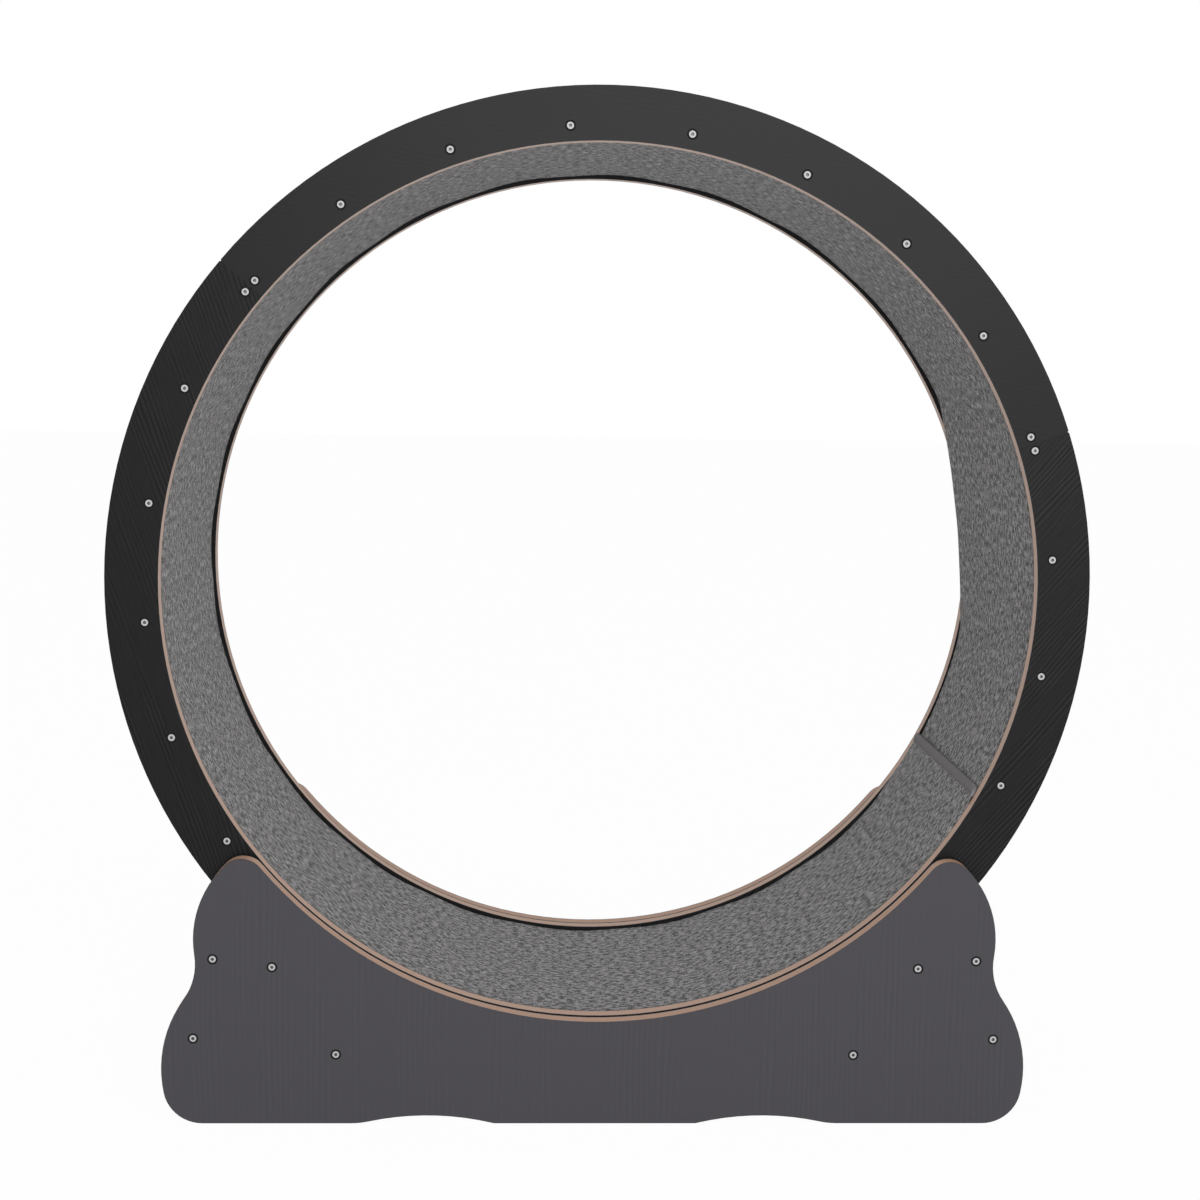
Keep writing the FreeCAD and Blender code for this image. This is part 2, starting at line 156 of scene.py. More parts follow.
# %% [markdown]
# Every finish starts from the same place: an empty material with one Principled shader.
# Roughness, sheen and the like that are the same all over a surface are typed straight
# into the shader, and only what varies is wired.

# %% Start a material
def colour(red, green, blue):
    """An opaque colour, in linear light."""
    return (red, green, blue, 1.0)


def start_material(name, **constants):
    """A new material with one Principled shader; returns the material, its tree and the shader."""
    material = bpy.data.materials.new(name)
    material.use_nodes = True
    tree = material.node_tree
    shader = tree.nodes["Principled BSDF"]
    for socket, value in constants.items():
        shader.inputs[socket.replace("_", " ")].default_value = value
    return material, tree, shader


def use(tree, shader, base, bump=None, strength=0.3, depth=0.0002):
    """Wire a colour into the shader and, if there is one, a height as bump."""
    tree.links.new(base, shader.inputs["Base Color"])
    if bump is not None:
        sockets = {"Height": bump, "Strength": strength, "Distance": depth}
        tree.links.new(add(tree, "Bump", sockets).outputs[0], shader.inputs["Normal"])


print("materials start from", len(bpy.data.materials), "that came with the model")

# %% [markdown]
# ## Laminated boards
#
# All boards of this wheel are fibreboard with a thin laminate on both faces. The faces
# show an embossed wood grain, and the cut edges show the raw tan board between two thin
# dark lines. One board object has both, so the material has to know which is which.
# Painting a mask by hand would work, but the coordinates already know: a face of an
# upright board lies at a known distance from the board's middle, and an edge lies in
# between. The slats lean all ways round the wheel, so what tells there is the normal: a
# face looks squarely along its spoke of the wheel, and an edge doesn't.

# %% Which part of a board is raw edge
LAMINATE = 0.0013
SQUARELY = 0.9


def edge_of_upright_board(tree, middle, half):
    """1 on the cut edges of a board whose faces look to the front and the back, else 0."""
    place = add(tree, "TexCoord", {}).outputs["Object"]
    y = add(tree, "SeparateXYZ", {0: place}).outputs["Y"]
    depth = maths(tree, "ABSOLUTE", maths(tree, "SUBTRACT", maths(tree, "ABSOLUTE", y), middle))
    return maths(tree, "LESS_THAN", depth, half - LAMINATE)


def edge_of_slat(tree):
    """1 on the cut edges of a slat, whose faces look towards the axis and away from it."""
    texture = add(tree, "TexCoord", {})
    spoke = add(tree, "VectorMath", {0: texture.outputs["Object"], 1: AXIS}, operation="SUBTRACT")
    flat = add(tree, "VectorMath", {0: spoke.outputs[0], 1: (1, 0, 1)}, operation="MULTIPLY")
    outward = add(tree, "VectorMath", {0: flat.outputs[0]}, operation="NORMALIZE")
    facing = add(tree, "VectorMath", {0: texture.outputs["Normal"], 1: outward.outputs[0]},
                 operation="DOT_PRODUCT").outputs["Value"]
    return maths(tree, "LESS_THAN", maths(tree, "ABSOLUTE", facing), SQUARELY)


print("laminate is", LAMINATE * 1000, "mm thick")

# %% [markdown]
# The grain has two layers. Pressed lines run side by side at an even pitch, but wander a
# little and fade in and out, as in real wood. Between them lie short fine pores, which
# are noise stretched along the same direction. On the black boards neither differs much
# in colour, and it is their relief that catches light. The raw edge is a pressed mass of
# fibres, so it gets fine round noise instead.

# %% The two looks of a board
RAW_TAN = colour(0.47, 0.285, 0.197)
RAW_BROWN = colour(0.36, 0.215, 0.146)
EDGE_SHINE = 0.3
WANDER = 0.016
GRAIN_DEPTH = 0.0003


def grain(tree, turn, pitch):
    """Lines and pores of a wood grain that runs along X, after a turn about Y in degrees."""
    place = add(tree, "TexCoord", {}).outputs["Object"]
    turned = add(tree, "Mapping", {"Vector": place, "Rotation": (0, math.radians(turn), 0)}).outputs[0]
    height = add(tree, "SeparateXYZ", {0: turned}).outputs["Z"]
    drift = maths(tree, "MULTIPLY", speckle(tree, turned, (4, 40, 22), detail=2), WANDER)
    turns = maths(tree, "MULTIPLY", maths(tree, "ADD", height, drift), 2 * math.pi / pitch)
    fading = ramp(tree, speckle(tree, turned, (6, 40, 60), detail=1), 0.38, 0.60)
    waves = maths(tree, "MULTIPLY", maths(tree, "SINE", turns), fading)
    lines = maths(tree, "MULTIPLY_ADD", waves, 0.5, 0.5)
    pores = speckle(tree, turned, (28, 200, 620), detail=2, roughness=0.6)
    return lines, pores


def raw_edge(tree):
    """Colour of the pressed fibres."""
    place = add(tree, "TexCoord", {}).outputs["Object"]
    fibres = speckle(tree, place, (900, 900, 900), detail=3, roughness=0.7)
    return blend_colour(tree, ramp(tree, fibres, 0.35, 0.65), RAW_BROWN, RAW_TAN)


def laminated(name, dark, light, turn, edge, contrast, relief, roughness, pitch=0.006, shine=0.2):
    """A laminated board: grain on its faces, and raw fibreboard, with its own shine, on its edges."""
    material, tree, shader = start_material(name, Roughness=roughness)
    lines, pores = grain(tree, turn, pitch)
    mask = edge(tree)
    tone = maths(tree, "ADD", maths(tree, "MULTIPLY", lines, 0.7),
                 maths(tree, "MULTIPLY", ramp(tree, pores, 0.35, 0.65), 0.3))
    tone = maths(tree, "MULTIPLY_ADD", tone, contrast, (1 - contrast) / 2)
    face = blend_colour(tree, tone, dark, light)
    height = maths(tree, "MULTIPLY", tone, maths(tree, "SUBTRACT", 1.0, mask))
    use(tree, shader, blend_colour(tree, mask, face, raw_edge(tree)), height, relief, GRAIN_DEPTH)
    gloss = maths(tree, "MULTIPLY_ADD", mask, EDGE_SHINE - shine, shine)
    tree.links.new(gloss, shader.inputs["Specular IOR Level"])
    return material


print("raw edges are", tuple(round(c, 3) for c in RAW_TAN[:3]))

# %% [markdown]
# Each ring is made of three boards, and a board's grain runs along its own chord. In the
# photograph the grain changes direction at every butt joint, which is how one sees that
# the ring isn't one piece. The direction follows from the middle of each board. Light from
# the front washes out the grain of the board at the top, and that is painted: the top board
# gets the least grain contrast, a painted highlight in its colour.

# %% Finish the ring boards
BLACK_DARK, BLACK_LIGHT = colour(0.001, 0.001, 0.001), colour(0.0165, 0.016, 0.0165)
FIRST_JOINT, SEGMENTS, GRAIN_PITCH = 19.5, 3, 0.0044
# Board 1, at the top, gets the least grain contrast: a painted highlight, not its own colour.
GRAIN_CONTRAST_AND_PAINTED_HIGHLIGHT, BOARD_SHINE = (0.15, 0.6, 0.9), (0.14, 0.105, 0.12)
RING_MIDDLE = (RING_FACE + TRACK_HALF) / 2
RING_HALF = (RING_FACE - TRACK_HALF) / 2


def dress(node, material):
    """Give a CAD node a material in each of its slots."""
    for slot in frame["nodes"][node].material_slots:
        slot.material = material


for index in range(SEGMENTS):
    chord = FIRST_JOINT + (index + 0.5) * 360 / SEGMENTS + 90
    black = laminated("black laminate %d" % (index + 1), BLACK_DARK, BLACK_LIGHT, chord,
                      lambda tree: edge_of_upright_board(tree, RING_MIDDLE, RING_HALF),
                      GRAIN_CONTRAST_AND_PAINTED_HIGHLIGHT[index], relief=0.6, roughness=0.38, pitch=GRAIN_PITCH,
                      shine=BOARD_SHINE[index])
    for end in ("front", "back"):
        dress("%s_ring_segment_%d" % (end, index + 1), black)
    print("grain of ring board", index + 1, "runs at", round(chord % 180, 1), "degrees")

# %% [markdown]
# The slats are the same board, with the grain along their length, from ring to ring. A
# turn of the coordinates about Y can't bring the grain along Y, so the slats get their
# own grain: bands and pores of noise, stretched along Y.

# %% Finish the slats
def slat_laminate():
    """Black laminate with its grain along Y, and raw edges."""
    material, tree, shader = start_material("slat laminate", Roughness=0.45, Specular_IOR_Level=0.25)
    place = add(tree, "TexCoord", {}).outputs["Object"]
    bands = speckle(tree, place, (150, 5, 150), detail=3, roughness=0.6)
    pores = speckle(tree, place, (520, 30, 520), detail=2)
    tone = maths(tree, "MULTIPLY", maths(tree, "ADD", bands, pores), 0.5)
    face = blend_colour(tree, ramp(tree, tone, 0.4, 0.6), BLACK_DARK, BLACK_LIGHT)
    use(tree, shader, blend_colour(tree, edge_of_slat(tree), face, raw_edge(tree)), tone, 0.3, GRAIN_DEPTH)
    return material


slats = sorted(name for name in frame["nodes"] if name.startswith("tread_slat_"))
slat_finish = slat_laminate()
for name in slats:
    dress(name, slat_finish)
print(len(slats), "slats finished")

# %% [markdown]
# The base is a lighter, matt charcoal with a slight violet cast. Its grain stands
# upright and hardly shows. The boards that close the two ends of the base face sideways
# and lean a little, so their raw edge is found by the way it faces, as on the slats.

# %% Finish the base boards
GREY_DARK, GREY_LIGHT = colour(0.038, 0.0362, 0.0412), colour(0.051, 0.0486, 0.0548)
PANEL_MIDDLE = (PANEL_FACE + PANEL_BACK) / 2
PANEL_HALF = (PANEL_FACE - PANEL_BACK) / 2


def edge_of_end_board(tree):
    """1 on the upper and lower edge of an end board, whose faces look sideways."""
    normal = add(tree, "TexCoord", {}).outputs["Normal"]
    x = add(tree, "SeparateXYZ", {0: normal}).outputs["X"]
    return maths(tree, "LESS_THAN", maths(tree, "ABSOLUTE", x), SQUARELY)


panel_finish = laminated("charcoal laminate", GREY_DARK, GREY_LIGHT, 90,
                         lambda tree: edge_of_upright_board(tree, PANEL_MIDDLE, PANEL_HALF),
                         contrast=0.5, relief=0.08, roughness=0.5)
end_board_finish = laminated("charcoal end board", GREY_DARK, GREY_LIGHT, 90, edge_of_end_board,
                             contrast=0.5, relief=0.08, roughness=0.5)
for name in ("front_base_panel", "back_base_panel"):
    dress(name, panel_finish)
for name in ("left_end_board", "right_end_board"):
    dress(name, end_board_finish)
print("base boards finished")

# %% [markdown]
# ## Bars, shafts and nylon
#
# Inside the base, two round beech bars tie the panels together, and two steel shafts
# carry the bearings. These parts keep their CAD shape. Turned beech shows short dark
# flecks along its length, drawn steel shows fine lines along its length, and moulded
# nylon has a faint mottled skin.

# %% Finishes of the bars and shafts
def fine_finish(name, dark, light, scale, relief, depth, **constants):
    """A plain material with one stretched speckle in colour and relief."""
    material, tree, shader = start_material(name, **constants)
    marks = speckle(tree, add(tree, "TexCoord", {}).outputs["Object"], scale, detail=3, roughness=0.6)
    use(tree, shader, blend_colour(tree, ramp(tree, marks, 0.38, 0.62), dark, light), marks, relief, depth)
    return material


beech = fine_finish("turned beech", colour(0.42, 0.27, 0.15), colour(0.56, 0.39, 0.24),
                    (420, 30, 420), 0.3, 0.0002, Roughness=0.5)
drawn_steel = fine_finish("drawn steel", colour(0.50, 0.50, 0.51), colour(0.62, 0.62, 0.63),
                          (2200, 40, 2200), 0.15, 0.00005, Metallic=1.0, Roughness=0.28)
nylon = fine_finish("black nylon", colour(0.018, 0.018, 0.018), colour(0.026, 0.026, 0.027),
                    (700, 700, 700), 0.2, 0.0001, Roughness=0.4)
for side in ("left", "right"):
    dress(side + "_cross_bar", beech)
    dress(side + "_roller_shaft", drawn_steel)
    dress(side + "_spacer_tube", nylon)
    dress(side + "_guide_discs", nylon)
print("bars, shafts, tubes and discs finished")

# %% [markdown]
# ## Turning a mesh into a piece
#
# Every new piece takes the same last steps: its mesh becomes an object at the origin,
# gets its materials, is attached to the moving body that it rides on, and hides the CAD
# nodes that it stands for. One helper does this, so that no piece can miss a step.

# %% Helper for finished pieces
def finish_piece(name, mesh_builder, body, materials, stands_for=()):
    """Make an object of a bmesh, free the bmesh, attach it to its body and hide the CAD nodes it stands
    for.
    """
    mesh = bpy.data.meshes.new(name)
    mesh_builder.to_mesh(mesh)
    mesh_builder.free()
    for material in materials:
        mesh.materials.append(material)
    piece = bpy.data.objects.new(name, mesh)
    bpy.context.scene.collection.objects.link(piece)
    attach(piece, body)
    if stands_for:
        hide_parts(*stands_for)
    print(name, len(mesh.vertices), "vertices,", len(mesh.polygons), "faces, rides on", body)
    return piece


print("pieces can be made")

# %% [markdown]
# ## The carpet
#
# A strip of felt carpet lines the track. It lies on 24 flat slats, so its surface is a
# polygon with soft corners, not a circle. On the right it has come loose and bulges
# towards the axis, and below that its two ends overlap. The strip could be cloth that is
# simulated, but it is stiff and glued down, so its line is known: a function can give the
# height of its face at every angle. Each loose stretch has its middle in degrees, the
# radius of its bend, and how far from the axis it passes in front and at the back.

# %% Where the carpet's surface lies
THICKNESS = 0.0045
SLATS = 24
SLAT_FACE = 0.45425
SEAT = SLAT_FACE - THICKNESS
CORNER = 0.280
LOOSE = [(7.0, 1.2, 0.4480, 0.4363), (-17.0, 0.6, 0.4497, 0.4482)]
SEAM = 360 - 27.3
HIDDEN_END = -33.4
CLIMB_START, CLIMB_LENGTH, CLIMB = 318.7, 7, 1.12
RIPPLE = 0.0004


def smooth(value):
    """0 below 0, 1 above 1, and an even S between them."""
    value = min(max(value, 0.0), 1.0)
    return value * value * (3 - 2 * value)


def on_slats(degrees):
    """Radius of the carpet's face where it lies on the slats."""
    half_step = math.radians(180 / SLATS)
    off_middle = math.radians(abs((degrees - FIRST_JOINT + 180 / SLATS) % (360 / SLATS) - 180 / SLATS))
    if math.tan(off_middle) * SEAT < (SEAT - CORNER) * math.tan(half_step):
        return SEAT / math.cos(off_middle)
    off_corner = half_step - off_middle
    centre = (SEAT - CORNER) / math.cos(half_step)
    return centre * math.cos(off_corner) + math.sqrt(CORNER ** 2 - (centre * math.sin(off_corner)) ** 2)


print("mid slat", round(on_slats(FIRST_JOINT), 5),
      "at a corner", round(on_slats(FIRST_JOINT + 180 / SLATS), 5))

# %% [markdown]
# Two things lift the carpet off that line. Where it lies loose it is bent less than the
# track: its face is the side of a wide cylinder, which leans, so that it stands out
# furthest at the back ring and hardly at all at the front one. Below the large loose
# stretch a small one reaches down to the seam. At the seam the end of the strip climbs
# onto its own beginning, so it stands a little more than one thickness higher there. A
# little noise, below half a millimetre, keeps the felt from looking machined.

# %% Lift of the loose stretches and of the overlap
def loose_face(degrees, y, middle, bend, front, back):
    """Radius of the leaning cylinder that a loose stretch follows."""
    off = math.radians(degrees - middle)
    nearest = front + (back - front) * (y + TRACK_HALF) / (2 * TRACK_HALF)
    centre = nearest - bend
    return centre * math.cos(off) + math.sqrt(bend ** 2 - (centre * math.sin(off)) ** 2)


def soft_lower(first, second, reach=0.002):
    """The lower of two values, with the corner between them rounded off."""
    near = max(reach - abs(first - second), 0.0)
    return min(first, second) - near * near / (4 * reach)


def carpet_radius(degrees, y):
    """Radius of the carpet's face at an angle, counted on past 360 where the end lies on top."""
    seat = on_slats(degrees)
    for stretch in LOOSE:
        seat = soft_lower(seat, loose_face(degrees, y, *stretch))
    overlap = THICKNESS * CLIMB * smooth((degrees - CLIMB_START) / CLIMB_LENGTH)
    ripple = noise.noise(about_axis(9.0, degrees, 14 * y)) * RIPPLE
    return seat - overlap + ripple


print("loose at the back", round(carpet_radius(LOOSE[0][0], TRACK_HALF), 4),
      "on top at the seam", round(carpet_radius(SEAM, 0), 4))

# %% [markdown]
# The strip itself starts as a single row of vertices across the track. Spin carries the
# row round the axis and leaves faces behind it, which is how one rolls out a carpet. The
# rows then move to the height that the function gives. Spinning keeps the order of the
# rows, so a vertex's number says how far along it lies, even where the strip lies on
# itself. The free corner beside the front ring is worn round.

# %% Roll the carpet out
HALF_WIDTH = TRACK_HALF - 0.0003
COLUMNS, ROWS = 29, 366
CORNER_WEAR, WEAR_LENGTH = 0.011, 0.04
PULLED_IN, PULL_LENGTH = 0.0014, 0.03


def worn_back(y):
    """How far the end of the strip falls short at this place, beside the front ring."""
    inset = max(CORNER_WEAR - (y + HALF_WIDTH), 0.0)
    return CORNER_WEAR - math.sqrt(CORNER_WEAR ** 2 - inset ** 2)


def carpet_strip():
    """Rows of vertices at the height of the seat, from the hidden end to the seam."""
    strip = bmesh.new()
    row = [strip.verts.new(about_axis(SEAT, HIDDEN_END, HALF_WIDTH * (2 * i / COLUMNS - 1)))
           for i in range(COLUMNS + 1)]
    edges = [strip.edges.new(pair) for pair in zip(row, row[1:])]
    bmesh.ops.spin(strip, geom=row + edges, cent=AXIS, axis=(0, -1, 0), steps=ROWS,
                   angle=math.radians(SEAM - HIDDEN_END), use_duplicate=False)
    strip.verts.ensure_lookup_table()
    return strip


strip = carpet_strip()
print(len(strip.verts), "vertices in", len(strip.verts) / (COLUMNS + 1), "rows")

# %% [markdown]
# While the rows are moved, the distance along the strip is written down as well: across
# and along become the carpet's own UV map, in metres. The heather pattern follows that
# map, so it runs with the carpet round the wheel and over the bulge, as yarn does. Near the
# seam the rows swing back to follow the worn corner, and the edge beside the front ring is
# pulled in a little.

# %% Lay the strip on the slats and give it its UV map
def lay_carpet(strip):
    """Move each row to its place; returns how long the strip is."""
    laid = {}
    for number, vertex in enumerate(strip.verts):
        row, y = number // (COLUMNS + 1), vertex.co.y
        angle = HIDDEN_END + (SEAM - HIDDEN_END) * row / ROWS
        to_end = math.radians(SEAM - angle) * SEAT
        angle -= math.degrees(worn_back(y) / SEAT) * (1 - smooth(to_end / WEAR_LENGTH))
        if y < -HALF_WIDTH * 0.9:
            y += PULLED_IN * (1 - smooth(to_end / PULL_LENGTH))
        vertex.co = about_axis(carpet_radius(angle, y), angle, y)
        laid[vertex] = (y, math.radians(angle - HIDDEN_END) * SEAT)
    flat = strip.loops.layers.uv.new("along the carpet")
    for face in strip.faces:
        for loop in face.loops:
            loop[flat].uv = laid[loop.vert]
    return max(along for _, along in laid.values())


carpet_length = lay_carpet(strip)
print("the strip is", round(carpet_length, 3), "m long and", round(2 * HALF_WIDTH, 3), "m wide")

# %% [markdown]
# The felt is heathered: light and dark fibres lie side by side in short curls, mostly
# along the strip. Stretched noise with steep steps from dark to light gives the curls. A
# slow drift of the coordinates keeps them from lining up, and a finer noise adds single
# fibres. The same pattern is the relief, because a light fibre is one that stands up.
# Sheen adds the pale rim that loose fibres give a fabric.

# %% The carpet's material
FELT_DARK, FELT_LIGHT = colour(0.002, 0.002, 0.002), colour(0.355, 0.347, 0.353)
FIBRE_DRIFT, FIBRE_HEIGHT = 0.005, 0.0016


def heather():
    """Felt whose pattern follows the strip's UV map."""
    material, tree, shader = start_material("heathered felt", Roughness=0.95, Specular_IOR_Level=0.15,
                                            Sheen_Weight=0.22, Sheen_Roughness=0.5)
    place = add(tree, "UVMap", {}, uv_map="along the carpet").outputs[0]
    drift = speckle(tree, place, (260, 160, 1), detail=1)
    aside = maths(tree, "MULTIPLY", maths(tree, "SUBTRACT", drift, 0.5), FIBRE_DRIFT)
    shift = add(tree, "CombineXYZ", {0: aside}).outputs[0]
    bent = add(tree, "VectorMath", {0: place, 1: shift}).outputs[0]
    curls = speckle(tree, bent, (290, 125, 1), detail=3, roughness=0.72)
    fibres = speckle(tree, bent, (330, 560, 1), detail=0)
    tone = maths(tree, "ADD", maths(tree, "MULTIPLY", ramp(tree, curls, 0.44, 0.56), 0.8),
                 maths(tree, "MULTIPLY", ramp(tree, fibres, 0.42, 0.58), 0.2))
    yarn = blend_colour(tree, tone, FELT_DARK, FELT_LIGHT)
    use(tree, shader, yarn, tone, 0.6, FIBRE_HEIGHT)
    return material


felt = heather()
print("felt ready")

# %% [markdown]
# The strip is one face thick so far. Solidify gives it the thickness of the felt, away
# from the axis, and Bevel rounds the long edges. Both stay as modifiers: they keep the UV
# map, and the thickness can still be changed. Solidify grows against the normals, so the
# sheet must first look the right way. A single face would be a poor witness of that, as
# some of them look along the strip, so the whole area votes.

# %% Thicken the carpet
EDGE_WEAR = 0.0009


def face_the_axis(sheet):
    """Turn an open sheet so that most of its area looks towards the wheel's axis."""
    bmesh.ops.recalc_face_normals(sheet, faces=sheet.faces)
    outward = 0.0
    for face in sheet.faces:
        spoke = face.calc_center_median() - AXIS
        outward += face.calc_area() * face.normal.dot(Vector((spoke.x, 0, spoke.z)))
    if outward > 0:
        bmesh.ops.reverse_faces(sheet, faces=sheet.faces)


for face in strip.faces:
    face.smooth = True
face_the_axis(strip)
carpet = finish_piece("carpet_strip", strip, "wheel", [felt], ["running_carpet"])
felt_depth = carpet.modifiers.new("felt", "SOLIDIFY")
felt_depth.thickness, felt_depth.offset = THICKNESS, -1.0
worn_edge = carpet.modifiers.new("worn edge", "BEVEL")
worn_edge.width, worn_edge.segments, worn_edge.angle_limit = EDGE_WEAR, 2, math.radians(60)

# %% [markdown]
# ## The binding tape
#
# The end that lies on top is bound with woven tape, which is folded over the cut. In
# section that is an L with a soft bend. The section is drawn once as a row of vertices
# and extruded across the track in short steps, and each step is shifted so that the tape
# follows the worn corner.

# %% Model the tape
TAPE_WIDTH, TAPE_DEPTH, TAPE_STEPS = 0.0092, 0.0009, 58


def tape_section():
    """Distance along the strip past its end, and height above the slats' seat, from edge to edge."""
    top = THICKNESS + TAPE_DEPTH
    return [(-TAPE_WIDTH, top - 0.0007), (-TAPE_WIDTH + 0.0008, top), (-0.0046, top + 0.0001),
            (-0.0012, top), (0.0001, top - 0.0004), (TAPE_DEPTH, top - 0.0013), (TAPE_DEPTH, 0.0001)]


def tape():
    """The flat tape, with its width along X, its length along Y and its height along Z."""
    band = bmesh.new()
    row = [band.verts.new((along, -HALF_WIDTH, height)) for along, height in tape_section()]
    edges = [band.edges.new(pair) for pair in zip(row, row[1:])]
    for _ in range(TAPE_STEPS):
        grown = bmesh.ops.extrude_edge_only(band, edges=edges)["geom"]
        bmesh.ops.translate(band, vec=(0, 2 * HALF_WIDTH / TAPE_STEPS, 0),
                            verts=[item for item in grown if isinstance(item, bmesh.types.BMVert)])
        edges = [item for item in grown if isinstance(item, bmesh.types.BMEdge)
                 and all(abs(vert.co.y - item.verts[0].co.y) < 1e-6 for vert in item.verts)]
    return band


band = tape()
print(len(band.verts), "vertices of tape")

# %% [markdown]
# The flat tape is then wrapped into place. Its X becomes the way round the wheel, its Z
# the height above the carpet below, and the UV map again keeps the flat measures for the
# weave, which is a fine check of warp and weft. Two sine waves multiplied give that check,
# and some noise wears it unevenly.

# %% Wrap the tape round the end of the strip
WEAVE = 9000.0
TAPE_DARK, TAPE_LIGHT = colour(0.134, 0.126, 0.131), colour(0.244, 0.232, 0.238)


def wrap_tape(band):
    """Bend the flat tape round the wheel, onto the end of the strip."""
    flat = band.loops.layers.uv.new("along the carpet")
    for face in band.faces:
        face.smooth = True
        for loop in face.loops:
            loop[flat].uv = (loop.vert.co.y, loop.vert.co.x - loop.vert.co.z)
    for vertex in band.verts:
        along, y, height = vertex.co
        angle = SEAM + math.degrees((along - worn_back(y)) / SEAT)
        seat = carpet_radius(min(angle, SEAM), y) + THICKNESS
        vertex.co = about_axis(seat - height, angle, y)
    face_the_axis(band)


def woven_tape():
    """Tape with a check of warp and weft that follows its UV map."""
    material, tree, shader = start_material("woven tape", Roughness=0.85, Specular_IOR_Level=0.2)
    place = add(tree, "UVMap", {}, uv_map="along the carpet").outputs[0]
    halves = add(tree, "SeparateXYZ", {0: place}).outputs
    warp = maths(tree, "SINE", maths(tree, "MULTIPLY", halves[0], WEAVE))
    weft = maths(tree, "SINE", maths(tree, "MULTIPLY", halves[1], WEAVE))
    check = maths(tree, "MULTIPLY_ADD", maths(tree, "MULTIPLY", warp, weft), 0.5, 0.5)
    worn = speckle(tree, place, (300, 120, 1), detail=3)
    tone = maths(tree, "ADD", maths(tree, "MULTIPLY", check, 0.4), maths(tree, "MULTIPLY", worn, 0.6))
    yarn = blend_colour(tree, tone, TAPE_DARK, TAPE_LIGHT)
    use(tree, shader, yarn, check, 0.4, 0.0002)
    return material


wrap_tape(band)
print("tape wrapped at", round(SEAM, 1), "degrees")

# %% [markdown]
# With the tape in place, it becomes a piece of its own and gets its thickness. A carpet is
# a sheet whose size doesn't change when it is laid; its flat size is printed, with the
# length that was measured while the rows were laid.

binding = finish_piece("binding_tape", band, "wheel", [woven_tape()], ["carpet_end_strip"])
tape_body = binding.modifiers.new("tape", "SOLIDIFY")
tape_body.thickness, tape_body.offset = TAPE_DEPTH * 0.8, -1.0
print("declared flat,", round(2 * HALF_WIDTH, 4), "by", round(carpet_length, 3), "m")

# %% [markdown]
# ## The screws
#
# The boards are held by countersunk furniture screws with a six-sided socket. From the
# front one sees a bright ring, a socket in painted shade, and painted countersink shade
# around it. Seventy screws are alike, so one is modelled with few faces and copied.
#
# The head starts as two circles, one round and one with six corners, bridged into a
# flat ring. Extruding the inner loop makes the socket, and extruding the outer loop makes
# the countersink and the shank.

# %% Model one screw
HEAD, SOCKET, SOCKET_DEPTH = 0.0035, 0.0018, 0.0018
NECK_DEPTH, SHANK, SHANK_LENGTH, POINT = 0.0019, 0.0016, 0.033, 0.003
EDGE_DROP, EDGE_FLARE = 0.00025, 1.03
PROUD = 0.00002


def loop_pushed(builder, edges, shift, factor):
    """Extrude a closed loop of edges, move it along Y and scale it about the screw's axis."""
    grown = bmesh.ops.extrude_edge_only(builder, edges=edges)["geom"]
    verts = [item for item in grown if isinstance(item, bmesh.types.BMVert)]
    bmesh.ops.translate(builder, verts=verts, vec=(0, shift, 0))
    bmesh.ops.scale(builder, verts=verts, vec=(factor, 1, factor))
    chosen = set(verts)
    return [item for item in grown if isinstance(item, bmesh.types.BMEdge)
            and all(vert in chosen for vert in item.verts)]


def ring_of(builder, corners, radius, y):
    """Edges of a new upright circle about the screw's axis."""
    made = bmesh.ops.create_circle(builder, segments=corners, radius=radius)["verts"]
    bmesh.ops.rotate(builder, verts=made, cent=(0, 0, 0), matrix=Matrix.Rotation(math.radians(90), 3, "X"))
    bmesh.ops.translate(builder, verts=made, vec=(0, y, 0))
    return [edge for edge in builder.edges if all(vert in made for vert in edge.verts)]


def screw():
    """A screw whose face looks to -Y, with its axis on Y."""
    builder = bmesh.new()
    round_loop, socket_loop = ring_of(builder, 24, HEAD, -PROUD), ring_of(builder, 6, SOCKET, -PROUD)
    bmesh.ops.bridge_loops(builder, edges=round_loop + socket_loop)
    floor = loop_pushed(builder, socket_loop, SOCKET_DEPTH, 0.92)
    bmesh.ops.contextual_create(builder, geom=floor)
    rim = loop_pushed(builder, round_loop, EDGE_DROP, EDGE_FLARE)
    neck = loop_pushed(builder, rim, NECK_DEPTH, SHANK / (HEAD * EDGE_FLARE))
    tip = loop_pushed(builder, neck, SHANK_LENGTH, 1.0)
    point = loop_pushed(builder, tip, POINT, 0.15)
    bmesh.ops.contextual_create(builder, geom=point)
    bmesh.ops.recalc_face_normals(builder, faces=builder.faces)
    # Faces inside the socket get material 1, darker metal that is painted shade of the recess.
    for face in builder.faces:
        middle = face.calc_center_median()
        in_socket = math.hypot(middle.x, middle.z) < SOCKET and EDGE_DROP < middle.y <= SOCKET_DEPTH
        face.material_index = 1 if in_socket else 0
    return builder


one_screw = screw()
print("one screw has", len(one_screw.faces), "faces")

# %% [markdown]
# Around each head the countersink leaves a gap in shade, and that shade is painted: a dark
# ring, a flat washer of faces, two hundredths of a millimetre proud of the board. It belongs
# to the look of the screw, so it is kept in the same mesh with its own material. The screws
# are zinc-plated and gone dull, part metal and part pale film, so they don't mirror the lamp.

# %% The painted countersink shade round a screw
RIM = 0.0055


def countersink_rim(builder):
    """Add the washer of painted countersink shade round the head."""
    outer = ring_of(builder, 24, RIM, -PROUD)
    inner = ring_of(builder, 24, HEAD, -PROUD)
    made = bmesh.ops.bridge_loops(builder, edges=outer + inner)["faces"]
    for face in made:
        face.material_index = 2
        face.normal_update()
        if face.normal.y > 0:
            face.normal_flip()


